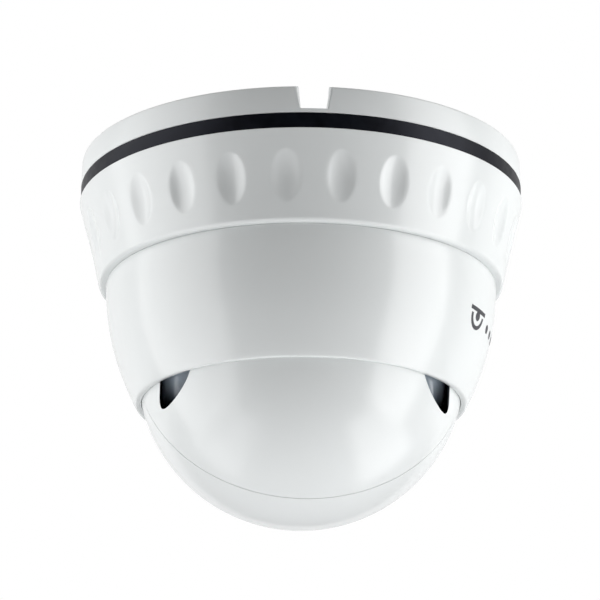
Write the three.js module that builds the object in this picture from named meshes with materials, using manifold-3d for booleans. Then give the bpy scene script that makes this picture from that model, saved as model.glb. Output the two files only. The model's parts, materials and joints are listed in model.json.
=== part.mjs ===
// A ceiling dome camera: a base with a cable outlet, a twist-on trim ring, a panning turret with a yoke,
// a tilting eyeball and a rolling lens head.
//
// Millimetres. +Z points up to the ceiling and the origin is the centre of the base's back face, so the
// camera hangs below z = 0. The tilt axis runs along X, the lens looks towards +Y, and the cable outlet
// is at -Y.
//
// The eyeball's pieces are drawn in the eyeball's own frame: its centre is the origin, the tilt axis is X,
// the back of the eyeball is +Z and the lens looks along -Z. Their group then tilts them.
import * as THREE from 'three';
import { mergeVertices } from 'three/addons/utils/BufferGeometryUtils.js';
import Module from 'manifold-3d';

const wasm = await Module();
wasm.setup();

// ---- Driving dimensions ----

const largeSides = 32;
const ringSides = 48;
const hubSides = 24;
const smallSides = 16;
const screwSides = 8;
const touch = 0.1; // gap between pieces that lie on each other
const runningGap = 0.3; // gap between pieces that turn past each other
const over = 1; // how far a cutting tool reaches past what it cuts

const m3 = { head: 2.6, headHeight: 1.6, shank: 1.5, hole: 1.7 };
const m2 = { head: 1.8, headHeight: 1.4, shank: 1.05, hole: 1.2, tapped: 1.15 };
const driverRecess = 0.45; // as a share of a screw head's radius and height

const base = {
  radius: 60.69, backRadius: 60.45, edge: 1, height: 7.7, wall: 2.6, plate: 2.5,
  cableHole: 12.5, collarInner: 50, collarOuter: 54.2, collarBottom: -23.1,
};
const bosses = {
  radius: 5.5, circle: 40, hole: 2.4, headHole: 4.8, headDepth: 3.7, angles: [90, 210, 330],
};
const ribs = { thickness: 1.6, top: -1.5, inner: 14.4, angles: [0, 45, 135, 180] };
const outlet = { halfTop: 4.3, halfFloor: 3.5, halfFlare: 5.25, flareDepth: 1.1, floor: -6.5, wall: 1.4 };
const gasket = { outer: 60.65, inner: 57.3, bottom: -11.8, edge: 0.4 };
const grommet = { bore: 8, flange: 14, lip: 1.4 };

const bayonet = {
  count: 3, width: 20, hookOuter: 56.3, hookTop: -15.7, hookBottom: -17.9, lugInner: 54.7, lugTop: -13.2,
};
const ring = {
  top: -11.9, bottom: -35.62, topRadius: 61, middleRadius: 58.2, bottomRadius: 55.62, bevel: 1,
  innerTop: 58.2, innerShelf: 55.1, shelf: -27.5, lip: 52,
};
const dimples = { count: 25, halfWidth: 4, halfHeight: 7, depth: 1.2, height: -24 };

const panPlate = { inner: 36, outer: 54.6, bottom: -27, thickness: 2.5 };
const shell = {
  shoulder: -35.9, shoulderRadius: 53.3, bulgeRadius: 53.46, bulgeHeight: -52.73,
  rim: -69.36, rimRadius: 44.72, rimInner: 43.35, rimRise: 0.25, wall: 2.3,
  neckOuter: 51.5, neckInner: 48.9, neckFoot: 2,
};
const shellScrews = {
  circle: 46.6, boss: 2.6, bossLength: 11, bossFloor: 2, length: 9, angles: [45, 165, 285],
};

const ball = { radius: 44.51, inner: 42, height: -58, restTilt: 69, seam: 0.35 };
const arm = { inner: 32, outer: 34.5, halfWidth: 4.5, foot: 14, tabEnd: 46, tabHalfWidth: 7, tab: 2 };
const armScrews = { x: 42, y: 4, length: 4.4 };
const hub = {
  inner: 29.6, outer: 38, radius: 21, dome: 40.8, rim: 18.6, boss: 8.5, web: 33,
  bore: 3.3, seat: 35.3, seatRadius: 6.2,
};
const pivot = {
  radius: 3, head: 5.6, headHeight: 2.2, recess: 2.8, recessDepth: 1, washer: 0.5, end: 26.3,
};
const frictionWasher = 8;

const slots = { inner: 30.6, outer: 38.6, end: -23.5, floor: 0.9 };
const frame = {
  inner: 25.8, outer: 28.9, bottom: -7, top: 9, pad: 6.5, padInner: 26.4,
  ear: 38.5, earHalfWidth: 4, earBottom: 2, earTop: 6.2,
};
const coverScrews = { circle: 35, boss: 3.2, holeDepth: 9, length: 11, angles: [60, 120, 240, 300] };
const band = { inner: 41.2, outer: 41.55, halfWidth: 1 };
const rearCableHole = { radius: 8, start: 38 };

const face = { z: -33.4, bevel: 0.5, lip: 26, lipBack: -31.9, pocket: 28.3, pocketEnd: -31 };
const windowStack = {
  radius: 27.4, gasketBack: -31.25, glassBack: -29.3, maskInner: 10.2, maskBack: -28.3,
  oRing: 0.48, oRingCircle: 26.6,
};
const leds = {
  count: 6, circle: 18.5, hole: 3.4, lens: 2.3, flange: 2.8, flangeHeight: 0.9, shoulder: 2.2,
  brow: 3.3, browRadius: 1.61, height: 3.7,
};
const sensor = { hole: 1.6, radius: 1.3, length: 3, angle: 90 };
const irBoard = { inner: 10.4, outer: 25.2, front: -25, thickness: 1.6 };
const shield = { inner: 8.6, outer: 10.1, back: -23 };
const can = {
  flange: 31.8, flangeFront: -27.1, flangeBack: -25.3, frontRadius: 27.3, frontInner: 25.6, step: -7.3,
  stepWall: 1.7, radius: 25.5, inner: 23.6, end: 21, back: 1.8, gland: 4.2,
  grooveBottom: 9.4, grooveTop: 10.6, grooveRadius: 24.7,
};
const clip = { bottom: 9.5, thickness: 1, inner: 24.8, outer: 27.2, halfGap: 3, gapStart: 20 };
const canScrews = { circle: 29.6, boss: 1.9, holeDepth: 3.2, length: 4.6, angles: [45, 135, 225, 315] };
const gland = {
  bore: 2.6, spigot: 3, nut: 6.5, nutHeight: 3, nutBevel: 1, neck: 5, neckEnd: 8, tip: 4.2, end: 9,
};

const lens = {
  radius: 8.3, tube: 7, bore: 4.5, mouth: 7.3, mouthDepth: 4, boreStart: 6,
  front: -28.2, step: -18, rear: -4,
};
const frontGlass = { radius: 7.2, crown: 0.4, rim: 2.4, back: 3.9 };
const rearGlass = { front: -9, back: -6 };
const lensHolder = { half: 10, front: -10, pocket: 6.5, seat: -3, bore: 7.15 };
const boards = { sensor: 32, sensorFront: 0.9, main: 22.8, mainFront: 8.5, thickness: 1.6 };
const imager = { halfWidth: 4.5, halfHeight: 3.5, thickness: 1.2 };
const sink = { half: 12, plate: 2, fins: 5, firstFin: -11, finPitch: 4.5, fin: 1.6, finTop: 7 };

// ---- Solids ----

const degrees = THREE.MathUtils.degToRad;
const vector = (x, y) => new THREE.Vector2(x, y);

// Turns a closed three.js geometry into a solid that can be cut and joined.
function solid(geometry) {
  const plain = new THREE.BufferGeometry().setAttribute('position', geometry.getAttribute('position'));
  plain.setIndex(geometry.getIndex());
  const merged = mergeVertices(plain, 1e-4);
  const corners = merged.index.array;
  const triangles = [];
  for (let i = 0; i < corners.length; i += 3) {
    const [a, b, c] = corners.slice(i, i + 3);
    if (a !== b && b !== c && c !== a) triangles.push(a, b, c);
  }
  const vertProperties = new Float32Array(merged.getAttribute('position').array);
  const triVerts = new Uint32Array(triangles);
  return new wasm.Manifold(new wasm.Mesh({ numProp: 3, vertProperties, triVerts }));
}

// Turns a profile of [radius, height] points round the Z axis. A profile that doesn't end on the axis is
// closed.
function revolveGeometry(profile, sides) {
  const points = profile.map(([radius, height]) => vector(radius, height));
  if (THREE.ShapeUtils.area(points) < 0) points.reverse();
  if (points[0].x > 0 || points[points.length - 1].x > 0) points.push(points[0].clone());
  return new THREE.LatheGeometry(points, sides).rotateX(Math.PI / 2);
}

function revolve(profile, sides = largeSides) {
  return solid(revolveGeometry(profile, sides));
}

// Turns a profile of [distance along X, radius] points round the X axis, on the side that is +1 or -1.
function revolveAlongX(profile, side, sides = smallSides) {
  const swapped = profile.map(([along, radius]) => [radius, along]);
  return solid(revolveGeometry(swapped, sides).rotateY(side * Math.PI / 2));
}

function cylinder(radius, bottom, top, x = 0, y = 0, sides = smallSides) {
  const geometry = new THREE.CylinderGeometry(radius, radius, top - bottom, sides).rotateX(Math.PI / 2);
  return solid(geometry.translate(x, y, (top + bottom) / 2));
}

function tubeRing(inner, outer, bottom, top, sides = largeSides) {
  return revolve([[inner, bottom], [outer, bottom], [outer, top], [inner, top]], sides);
}

// A box between two corners, turned about Z by an angle in degrees.
function block([x0, y0, z0], [x1, y1, z1], angle = 0) {
  const geometry = new THREE.BoxGeometry(Math.abs(x1 - x0), Math.abs(y1 - y0), Math.abs(z1 - z0));
  geometry.translate((x0 + x1) / 2, (y0 + y1) / 2, (z0 + z1) / 2);
  return solid(geometry.rotateZ(degrees(angle)));
}

// Where an extrusion's own axes point when it runs along Z, along X, or along Y towards -Y.
const axisX = new THREE.Vector3(1, 0, 0);
const axisY = new THREE.Vector3(0, 1, 0);
const axisZ = new THREE.Vector3(0, 0, 1);
const runs = {
  Z: new THREE.Matrix4().makeBasis(axisX, axisY, axisZ),
  X: new THREE.Matrix4().makeBasis(axisY, axisZ, axisX),
  Y: new THREE.Matrix4().makeBasis(axisX, axisZ, axisY.clone().negate()),
};

// An outline that is extruded from one distance to another: [x, y] points along Z, [y, z] points along X
// and [x, z] points along Y.
function prism(outline, start, end, along = 'Z') {
  const shape = new THREE.Shape(outline.map(([u, v]) => vector(u, v)));
  const geometry = new THREE.ExtrudeGeometry(shape, { depth: end - start, bevelEnabled: false });
  return solid(geometry.translate(0, 0, start).applyMatrix4(runs[along]));
}

// A piece of a flat ring, centred on an angle in degrees.
function sector(inner, outer, angle, width, bottom, top) {
  const start = degrees(angle - width / 2);
  const end = degrees(angle + width / 2);
  const shape = new THREE.Shape();
  shape.absarc(0, 0, outer, start, end, false);
  shape.absarc(0, 0, inner, end, start, true);
  const options = { depth: top - bottom, bevelEnabled: false, curveSegments: 4 };
  const geometry = new THREE.ExtrudeGeometry(shape, options);
  return solid(geometry.translate(0, 0, bottom));
}

// Points [radius, height] on a circle about the origin, between two heights.
function ballArc(radius, fromHeight, toHeight, steps) {
  const start = Math.asin(fromHeight / radius);
  const end = Math.asin(toHeight / radius);
  return Array.from({ length: steps + 1 }, (_, i) => {
    const angle = start + (end - start) * i / steps;
    return [Math.max(radius * Math.cos(angle), 0), radius * Math.sin(angle)];
  });
}

function onCircle(radius, angle) {
  return [radius * Math.cos(degrees(angle)), radius * Math.sin(degrees(angle))];
}

const cut = (first, ...others) => others.reduce((whole, other) => whole.subtract(other), first);

// A screw seated at a height, with its head up, or down if it is turned over. Its head has a driver
// recess.
function screw(size, length, [x, y], seat, turned = false) {
  const { head, headHeight, shank } = size;
  const geometry = revolveGeometry([
    [0, -length], [shank, -length], [shank, 0], [head, 0], [head, headHeight],
    [head * driverRecess, headHeight], [0, headHeight * driverRecess],
  ], screwSides);
  if (turned) geometry.rotateX(Math.PI);
  return solid(geometry.translate(x, y, seat));
}

// ---- Meshes ----

const looks = {
  whitePlastic: { color: 0xe9eaec, roughness: 0.28, metalness: 0 },
  whiteMetal: { color: 0xe6e7ea, roughness: 0.35, metalness: 0.1 },
  blackRubber: { color: 0x14151b, roughness: 0.75, metalness: 0 },
  darkPlastic: { color: 0x1b2130, roughness: 0.2, metalness: 0 },
  blackPlastic: { color: 0x15161a, roughness: 0.5, metalness: 0 },
  nylon: { color: 0xd9d4c4, roughness: 0.5, metalness: 0 },
  steel: { color: 0xb4b7bc, roughness: 0.35, metalness: 1 },
  aluminium: { color: 0xa9adb3, roughness: 0.45, metalness: 1 },
  board: { color: 0x17522f, roughness: 0.5, metalness: 0 },
  glass: { color: 0x3a3f4a, roughness: 0.05, metalness: 0 },
  foam: { color: 0x0e0e10, roughness: 0.95, metalness: 0 },
  chip: { color: 0x1d1f24, roughness: 0.4, metalness: 0 },
};

function addPiece(group, name, shape, look) {
  const { vertProperties, triVerts } = shape.getMesh();
  const geometry = new THREE.BufferGeometry();
  geometry.setAttribute('position', new THREE.BufferAttribute(vertProperties, 3));
  geometry.setIndex(new THREE.BufferAttribute(triVerts, 1));
  geometry.computeVertexNormals();
  const mesh = new THREE.Mesh(geometry, new THREE.MeshStandardMaterial(look));
  mesh.name = name;
  group.add(mesh);
  return mesh;
}

// ---- Base ----

const floorTop = base.plate - base.height; // the side of the base's plate that faces the ceiling

function basePlate() {
  const rimInner = base.backRadius - base.wall;
  let plate = revolve([
    [base.radius, -base.height], [base.backRadius, -base.edge], [base.backRadius - base.edge, 0],
    [rimInner, 0], [rimInner, floorTop], [base.cableHole, floorTop], [base.cableHole, -base.height],
    [base.collarInner, -base.height], [base.collarInner, base.collarBottom],
    [base.collarOuter, base.collarBottom], [base.collarOuter, -base.height],
  ]);
  for (const angle of ribs.angles) {
    const half = ribs.thickness / 2;
    const corner = [rimInner + touch, half, ribs.top];
    plate = plate.add(block([ribs.inner, -half, floorTop - touch], corner, angle));
  }
  for (const side of [-1, 1]) {
    const outletWall = side * (outlet.halfTop + outlet.wall);
    const start = [side * outlet.halfTop, -grommet.flange, floorTop - touch];
    plate = plate.add(block(start, [outletWall, touch - rimInner, ribs.top]));
  }
  for (const angle of bosses.angles) {
    const [x, y] = onCircle(bosses.circle, angle);
    const headTop = bosses.headDepth - base.height;
    plate = plate.add(cylinder(bosses.radius, floorTop - touch, 0, x, y));
    plate = plate.subtract(cylinder(bosses.hole, -base.height - over, over, x, y, screwSides));
    plate = plate.subtract(cylinder(bosses.headHole, -base.height - over, headTop, x, y, screwSides));
  }
  for (let i = 0; i < bayonet.count; i += 1) {
    const angle = 360 * i / bayonet.count;
    const inner = base.collarOuter - runningGap;
    const { hookOuter, width, hookBottom, hookTop } = bayonet;
    plate = plate.add(sector(inner, hookOuter, angle, width, hookBottom, hookTop));
  }
  return cut(plate, ...outletCuts());
}

// The cable outlet: a channel that narrows towards its floor, and a flared mouth in the rim.
function outletCuts() {
  const outside = base.radius + over;
  const spread = outlet.halfTop + (outlet.halfTop - outlet.halfFloor) * over / -outlet.floor;
  const channel = prism([
    [-outlet.halfFloor, outlet.floor], [outlet.halfFloor, outlet.floor], [spread, over], [-spread, over],
  ], base.cableHole - over, outside, 'Y');
  const mouthStart = base.backRadius - outlet.flareDepth;
  const mouth = prism([
    [-outlet.halfTop, -mouthStart], [-outlet.halfFlare, -base.radius], [-outlet.halfFlare, -outside],
    [outlet.halfFlare, -outside], [outlet.halfFlare, -base.radius], [outlet.halfTop, -mouthStart],
  ], outlet.floor, over);
  return [channel, mouth];
}

function baseGasket() {
  const { outer, inner, bottom, edge } = gasket;
  const top = -base.height - touch / 2;
  return revolve([
    [inner, top], [outer - edge, top], [outer, top - edge], [outer, bottom + edge], [outer - edge, bottom],
    [inner, bottom],
  ]);
}

function cableGrommet() {
  const { bore, flange, lip } = grommet;
  const waist = base.cableHole - touch;
  const below = -base.height - touch;
  const above = floorTop + touch;
  return revolve([
    [bore, below - lip], [flange, below - lip], [flange, below], [waist, below], [waist, above],
    [flange, above], [flange, above + lip], [bore, above + lip],
  ], smallSides);
}

const plateTop = panPlate.bottom + panPlate.thickness;

function panFrictionRing() {
  const inner = base.collarInner + touch;
  return tubeRing(inner, base.collarOuter - touch, plateTop + touch, base.collarBottom - touch);
}

// ---- Trim ring ----

function trimRing() {
  const middle = (ring.top + ring.bottom) / 2;
  let body = revolve([
    [ring.topRadius, ring.top], [ring.middleRadius, middle], [ring.bottomRadius, ring.bottom + ring.bevel],
    [ring.bottomRadius - ring.bevel, ring.bottom], [ring.lip, ring.bottom], [ring.lip, ring.shelf],
    [ring.innerShelf, ring.shelf], [ring.innerTop, ring.top],
  ], ringSides);
  for (let i = 0; i < bayonet.count; i += 1) {
    const angle = 360 * i / bayonet.count;
    const bottom = bayonet.hookTop + runningGap;
    const outer = ring.innerTop + runningGap;
    body = body.add(sector(bayonet.lugInner, outer, angle, bayonet.width, bottom, bayonet.lugTop));
  }
  const drop = (ring.top - dimples.height) / (ring.top - ring.bottom);
  const surface = ring.topRadius + (ring.bottomRadius - ring.topRadius) * drop;
  const slope = Math.atan((ring.topRadius - ring.bottomRadius) / (ring.top - ring.bottom));
  for (let i = 0; i < dimples.count; i += 1) {
    const hollow = new THREE.SphereGeometry(1, 8, 6).rotateX(Math.PI / 2);
    hollow.scale(dimples.depth, dimples.halfWidth, dimples.halfHeight);
    hollow.rotateY(slope);
    hollow.translate(surface, 0, dimples.height);
    hollow.rotateZ(degrees(90 + 360 * i / dimples.count));
    body = body.subtract(solid(hollow));
  }
  return body;
}

// ---- Turret ----

function panPlateSolid() {
  const plate = tubeRing(panPlate.inner, panPlate.outer, panPlate.bottom, plateTop);
  const start = panPlate.bottom - over;
  const places = [...shellScrewPlaces(), ...armScrewPlaces()];
  const holes = places.map(([x, y]) => cylinder(m3.hole, start, plateTop + over, x, y, screwSides));
  return cut(plate, ...holes);
}

function shellScrewPlaces() {
  return shellScrews.angles.map((angle) => onCircle(shellScrews.circle, angle));
}

function armScrewPlaces() {
  return [-1, 1].flatMap((side) => [-1, 1].map((end) => [side * armScrews.x, end * armScrews.y]));
}

// The bulging skirt under the ring, with a neck inside the ring that is screwed to the pan plate.
function turretShell() {
  const neckTop = panPlate.bottom - touch;
  const curve = new THREE.QuadraticBezierCurve(
    vector(shell.shoulderRadius, shell.shoulder), vector(shell.bulgeRadius, shell.bulgeHeight),
    vector(shell.rimRadius, shell.rim));
  const steps = 6;
  const outside = curve.getPoints(steps);
  const inside = outside.slice(1, steps).map((point, i) => {
    const tangent = curve.getTangent((i + 1) / steps);
    return [point.x + tangent.y * shell.wall, point.y - tangent.x * shell.wall];
  });
  let skirt = revolve([
    ...outside.map((point) => [point.x, point.y]),
    [shell.rimInner, shell.rim + shell.rimRise],
    ...inside.reverse(),
    [shell.neckInner, shell.shoulder - shell.neckFoot], [shell.neckInner, neckTop],
    [shell.neckOuter, neckTop], [shell.neckOuter, shell.shoulder],
  ]);
  for (const [x, y] of shellScrewPlaces()) {
    const bottom = neckTop - shellScrews.bossLength;
    const holeBottom = bottom + shellScrews.bossFloor;
    skirt = skirt.add(cylinder(shellScrews.boss, bottom, neckTop, x, y, screwSides));
    skirt = skirt.subtract(cylinder(m3.hole, holeBottom, neckTop + over, x, y, screwSides));
  }
  return skirt;
}

// One side of the yoke: a tab on the pan plate, an arm down to the tilt axis, and a round hub inside the
// eyeball.
function yokeArm(side) {
  const tabBottom = plateTop + touch - ball.height;
  const tabTop = tabBottom + arm.tab;
  const { inner, outer, radius, dome, rim, boss, web, bore, seat, seatRadius } = hub;
  const flat = Math.sqrt(dome ** 2 - outer ** 2);
  const crown = [radius, (radius + flat) / 2, flat].map((edge) => [Math.sqrt(dome ** 2 - edge ** 2), edge]);
  const drum = revolveAlongX([
    [inner + touch, bore], [inner + touch, boss], [web, boss], [web, rim], [inner, rim], [inner, radius],
    ...crown, [outer, seatRadius], [seat, seatRadius], [seat, bore],
  ], side, hubSides);
  const { halfWidth, tabHalfWidth } = arm;
  const inside = side * arm.inner;
  const strip = block([inside, -halfWidth, arm.foot], [side * arm.outer, halfWidth, tabTop]);
  const tab = block([inside, -tabHalfWidth, tabBottom], [side * arm.tabEnd, tabHalfWidth, tabTop]);
  const start = tabBottom - over;
  const holes = armScrewPlaces().map(([x, y]) => cylinder(m3.hole, start, tabTop + over, x, y, screwSides));
  return cut(drum.add(strip).add(tab), ...holes);
}

// A screw along X through the hub into the tilt frame, with its head in the hub's seat.
function pivotScrew(side) {
  const under = hub.seat + touch + pivot.washer + touch;
  const top = under + pivot.headHeight;
  return revolveAlongX([
    [pivot.end, 0], [pivot.end, pivot.radius], [under, pivot.radius], [under, pivot.head],
    [top, pivot.head], [top, pivot.recess], [top - pivot.recessDepth, 0],
  ], side, screwSides);
}

function washerAlongX(side, start, thickness, outer) {
  const inner = pivot.radius + touch;
  return revolveAlongX([
    [start, inner], [start, outer], [start + thickness, outer], [start + thickness, inner],
  ], side);
}

// ---- Eyeball: everything that tilts but doesn't roll ----

// The back half of the eyeball, with a slot each side that the yoke's arms pass through.
function rearCover() {
  const rimHeight = ball.seam / 2;
  let cover = revolve([
    ...ballArc(ball.radius, rimHeight, ball.radius, 8),
    ...ballArc(ball.inner, rimHeight, ball.inner, 6).reverse(),
  ]);
  const inside = revolve([[0, rimHeight], ...ballArc(ball.inner + over, rimHeight, ball.inner + over, 6)]);
  for (const angle of coverScrews.angles) {
    const [x, y] = onCircle(coverScrews.circle, angle);
    const bottom = frame.earTop + touch;
    const column = cylinder(coverScrews.boss, bottom, ball.inner, x, y, screwSides);
    cover = cover.add(column.intersect(inside));
    const holeTop = bottom + coverScrews.holeDepth;
    cover = cover.subtract(cylinder(m3.hole, bottom - over, holeTop, x, y, screwSides));
  }
  const cableHole = cylinder(rearCableHole.radius, rearCableHole.start, ball.radius + over);
  return cut(cover, armSlot(-1), armSlot(1), cableHole);
}

// The slot for one arm of the yoke: round at one end and open at the other.
function armSlot(side) {
  const beyond = ball.radius + over;
  const radius = (slots.outer - slots.inner) / 2;
  const middle = side * (slots.inner + radius);
  const centre = slots.end + radius;
  const end = cylinder(radius, slots.floor, beyond, middle, centre, hubSides);
  return end.add(block([middle - radius, centre, slots.floor], [middle + radius, beyond, beyond]));
}

// The ring that the lens head rolls in, with a flat pad for each pivot and four ears for the rear cover.
function tiltFrame() {
  let body = tubeRing(frame.inner, frame.outer, frame.bottom, frame.top);
  for (const side of [-1, 1]) {
    const pad = [
      [frame.padInner, 0], [frame.padInner, frame.pad], [frame.outer, frame.pad], [frame.outer, 0],
    ];
    const hole = pivot.radius + touch;
    const start = frame.inner - over;
    const end = frame.outer + over;
    const bore = [[start, 0], [start, hole], [end, hole], [end, 0]];
    body = body.add(revolveAlongX(pad, side)).subtract(revolveAlongX(bore, side, screwSides));
  }
  for (const angle of coverScrews.angles) {
    const start = [(frame.inner + frame.outer) / 2, -frame.earHalfWidth, frame.earBottom];
    const [x, y] = onCircle(coverScrews.circle, angle);
    body = body.add(block(start, [frame.ear, frame.earHalfWidth, frame.earTop], angle));
    body = body.subtract(cylinder(m3.hole, frame.earBottom - over, frame.earTop + over, x, y, screwSides));
  }
  return body;
}

// A thin dark band behind the seam between the two halves of the eyeball.
function seamBand() {
  return tubeRing(band.inner, band.outer, -band.halfWidth, band.halfWidth);
}

// ---- Lens head: everything that rolls ----

// The front half of the eyeball, with a round window opening and four screw bosses behind its face.
function frontCover() {
  const rimHeight = -ball.seam / 2;
  const bevelTop = face.z + face.bevel;
  const faceRadius = Math.sqrt(ball.radius ** 2 - bevelTop ** 2);
  let cover = revolve([
    ...ballArc(ball.radius, rimHeight, bevelTop, 7),
    [faceRadius - face.bevel, face.z], [face.lip, face.z], [face.lip, face.lipBack],
    [face.pocket, face.lipBack],
    ...ballArc(ball.inner, face.pocketEnd, rimHeight, 5),
  ]);
  const start = face.z + over;
  const inside = revolve([...ballArc(ball.inner + over, start, 0, 8), [0, 0], [0, start]]);
  for (const angle of canScrews.angles) {
    const [x, y] = onCircle(canScrews.circle, angle);
    const back = can.flangeFront - touch;
    const column = cylinder(canScrews.boss, start, back, x, y, screwSides);
    cover = cover.add(column.intersect(inside));
    cover = cover.subtract(cylinder(m2.tapped, back - canScrews.holeDepth, back + over, x, y, screwSides));
  }
  return cover;
}

function windowGasket() {
  return tubeRing(face.lip, windowStack.radius, face.lipBack + touch, windowStack.gasketBack);
}

function windowGlass() {
  const { radius, gasketBack, glassBack } = windowStack;
  return cylinder(radius, gasketBack + touch, glassBack, 0, 0, largeSides);
}

// A black plate behind the glass with a hole for each emitter, the light sensor and the lens.
function windowMask() {
  const { radius, glassBack, maskInner, maskBack } = windowStack;
  const front = glassBack + touch;
  const mask = tubeRing(maskInner, radius, front, maskBack);
  const holes = ledPlaces().map(([x, y]) => cylinder(leds.hole, front - over, maskBack + over, x, y));
  const [x, y] = sensorPlace();
  return cut(mask, ...holes, cylinder(sensor.hole, front - over, maskBack + over, x, y, screwSides));
}

function ledPlaces() {
  return Array.from({ length: leds.count }, (_, i) => onCircle(leds.circle, 360 * i / leds.count));
}

function sensorPlace() {
  return onCircle(leds.circle, sensor.angle);
}

// An infrared emitter with a flange on the board and a domed lens in the mask's hole.
function ledSolid([x, y]) {
  const back = irBoard.front - touch;
  const step = back - leds.flangeHeight;
  const geometry = revolveGeometry([
    [0, back], [leds.flange, back], [leds.flange, step], [leds.lens, step],
    [leds.lens, back - leds.shoulder], [leds.browRadius, back - leds.brow], [0, back - leds.height],
  ], screwSides);
  return solid(geometry.translate(x, y, 0));
}

function lightSensor() {
  const [x, y] = sensorPlace();
  return cylinder(sensor.radius, irBoard.front - sensor.length, irBoard.front - touch, x, y, screwSides);
}

function irBoardSolid() {
  return tubeRing(irBoard.inner, irBoard.outer, irBoard.front, irBoard.front + irBoard.thickness);
}

// A foam sleeve that keeps the emitters' light in the window from reaching the lens.
function lightShield() {
  return tubeRing(shield.inner, shield.outer, windowStack.glassBack + touch, shield.back, smallSides);
}

// The sealed can behind the window: a wide front part with a flange, a shoulder and a slimmer part that
// rolls.
function rearHousing() {
  const { grooveRadius, grooveBottom, grooveTop } = can;
  const floor = can.end - can.back;
  const innerStep = can.step - can.stepWall;
  const body = revolve([
    [can.frontInner, can.flangeFront], [can.flange, can.flangeFront], [can.flange, can.flangeBack],
    [can.frontRadius, can.flangeBack], [can.frontRadius, can.step], [can.radius, can.step],
    [can.radius, grooveBottom], [grooveRadius, grooveBottom], [grooveRadius, grooveTop],
    [can.radius, grooveTop], [can.radius, can.end], [can.gland, can.end], [can.gland, floor],
    [can.inner, floor], [can.inner, innerStep], [can.frontInner, innerStep],
  ]);
  const holes = canScrews.angles.map((angle) => {
    const [x, y] = onCircle(canScrews.circle, angle);
    return cylinder(m2.hole, can.flangeFront - over, can.flangeBack + over, x, y, screwSides);
  });
  return cut(body, ...holes);
}

// A spring clip in the can's groove: a ring with a gap in it.
function rollClip() {
  const top = clip.bottom + clip.thickness;
  const whole = tubeRing(clip.inner, clip.outer, clip.bottom, top);
  const end = [clip.halfGap, clip.outer + over, top + over];
  return cut(whole, block([-clip.halfGap, clip.gapStart, clip.bottom - over], end));
}

function windowORing() {
  const { oRing, oRingCircle, maskBack } = windowStack;
  const middle = (maskBack + can.flangeFront) / 2;
  const corners = 6;
  const section = Array.from({ length: corners }, (_, i) => {
    const [along, up] = onCircle(oRing, 360 * i / corners);
    return [oRingCircle + along, middle + up];
  });
  return revolve(section);
}

function cableGland() {
  const seat = can.end + touch;
  const spigot = can.gland - touch;
  const { bore, nut, nutHeight, nutBevel, neck, neckEnd, tip, end } = gland;
  return revolve([
    [bore, seat - gland.spigot], [spigot, seat - gland.spigot], [spigot, seat], [nut, seat],
    [nut, seat + nutHeight], [neck, seat + nutHeight + nutBevel], [neck, seat + neckEnd], [tip, seat + end],
    [bore, seat + end],
  ], smallSides);
}

function lensBarrel() {
  const { radius, tube, bore, mouth, mouthDepth, boreStart, front, step, rear } = lens;
  return revolve([
    [mouth, front], [radius, front], [radius, step], [tube, step], [tube, rear], [bore, rear],
    [bore, front + boreStart], [mouth, front + mouthDepth],
  ], smallSides);
}

// The front lens, whose face is half an ellipse.
function frontLens() {
  const { radius, crown, rim, back } = frontGlass;
  const steps = 4;
  const dome = Array.from({ length: steps + 1 }, (_, i) => {
    const angle = Math.PI / 2 * i / steps;
    return [radius * Math.sin(angle), lens.front + rim - (rim - crown) * Math.cos(angle)];
  });
  return revolve([...dome, [radius, lens.front + back], [0, lens.front + back]], smallSides);
}

function rearLens() {
  return cylinder(lens.bore - touch, rearGlass.front, rearGlass.back);
}

// The block that holds the lens barrel square over the image sensor.
function lensMount() {
  const { half, front, pocket, seat, bore } = lensHolder;
  const top = boards.sensorFront - touch;
  const holder = block([-half, -half, front], [half, half, top]);
  const room = block([-pocket, -pocket, seat], [pocket, pocket, top + over]);
  return cut(holder, room, cylinder(bore, front - over, seat + touch));
}

// A finned block on the back of the main board.
function heatSink() {
  const { half, plate, fins, firstFin, finPitch, fin, finTop } = sink;
  const bottom = boards.mainFront + boards.thickness + touch;
  let body = block([-half, -half, bottom], [half, half, bottom + plate]);
  for (let i = 0; i < fins; i += 1) {
    const x = firstFin + i * finPitch;
    body = body.add(block([x, -half, bottom + plate / 2], [x + fin, half, bottom + finTop]));
  }
  return body;
}

function mainBoard() {
  return cylinder(boards.main, boards.mainFront, boards.mainFront + boards.thickness, 0, 0, largeSides);
}

function sensorBoard() {
  const half = boards.sensor / 2;
  return block([-half, -half, boards.sensorFront], [half, half, boards.sensorFront + boards.thickness]);
}

function imageSensor() {
  const { halfWidth, halfHeight, thickness } = imager;
  const back = boards.sensorFront - touch;
  return block([-halfWidth, -halfHeight, back - thickness], [halfWidth, halfHeight, back]);
}

// ---- Assembly ----

const camera = new THREE.Group();

addPiece(camera, 'base_plate', basePlate(), looks.whiteMetal);
addPiece(camera, 'base_gasket', baseGasket(), looks.blackRubber);
addPiece(camera, 'cable_grommet', cableGrommet(), looks.blackRubber);
addPiece(camera, 'pan_friction_ring', panFrictionRing(), looks.nylon);
addPiece(camera, 'trim_ring', trimRing(), looks.whitePlastic);
addPiece(camera, 'pan_plate', panPlateSolid(), looks.steel);
addPiece(camera, 'turret_shell', turretShell(), looks.whitePlastic);

shellScrewPlaces().forEach((place, i) => {
  const shape = screw(m3, shellScrews.length, place, plateTop + touch);
  addPiece(camera, `shell_screw_${i + 1}`, shape, looks.steel);
});
armScrewPlaces().forEach((place, i) => {
  const shape = screw(m3, armScrews.length, place, plateTop + arm.tab + 2 * touch);
  addPiece(camera, `arm_screw_${i + 1}`, shape, looks.steel);
});

// The yoke hangs level from the pan plate, and the eyeball tilts between its arms.
const yoke = new THREE.Group();
yoke.position.z = ball.height;
camera.add(yoke);
addPiece(yoke, 'yoke_arm_left', yokeArm(-1), looks.darkPlastic);
addPiece(yoke, 'yoke_arm_right', yokeArm(1), looks.darkPlastic);

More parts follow.
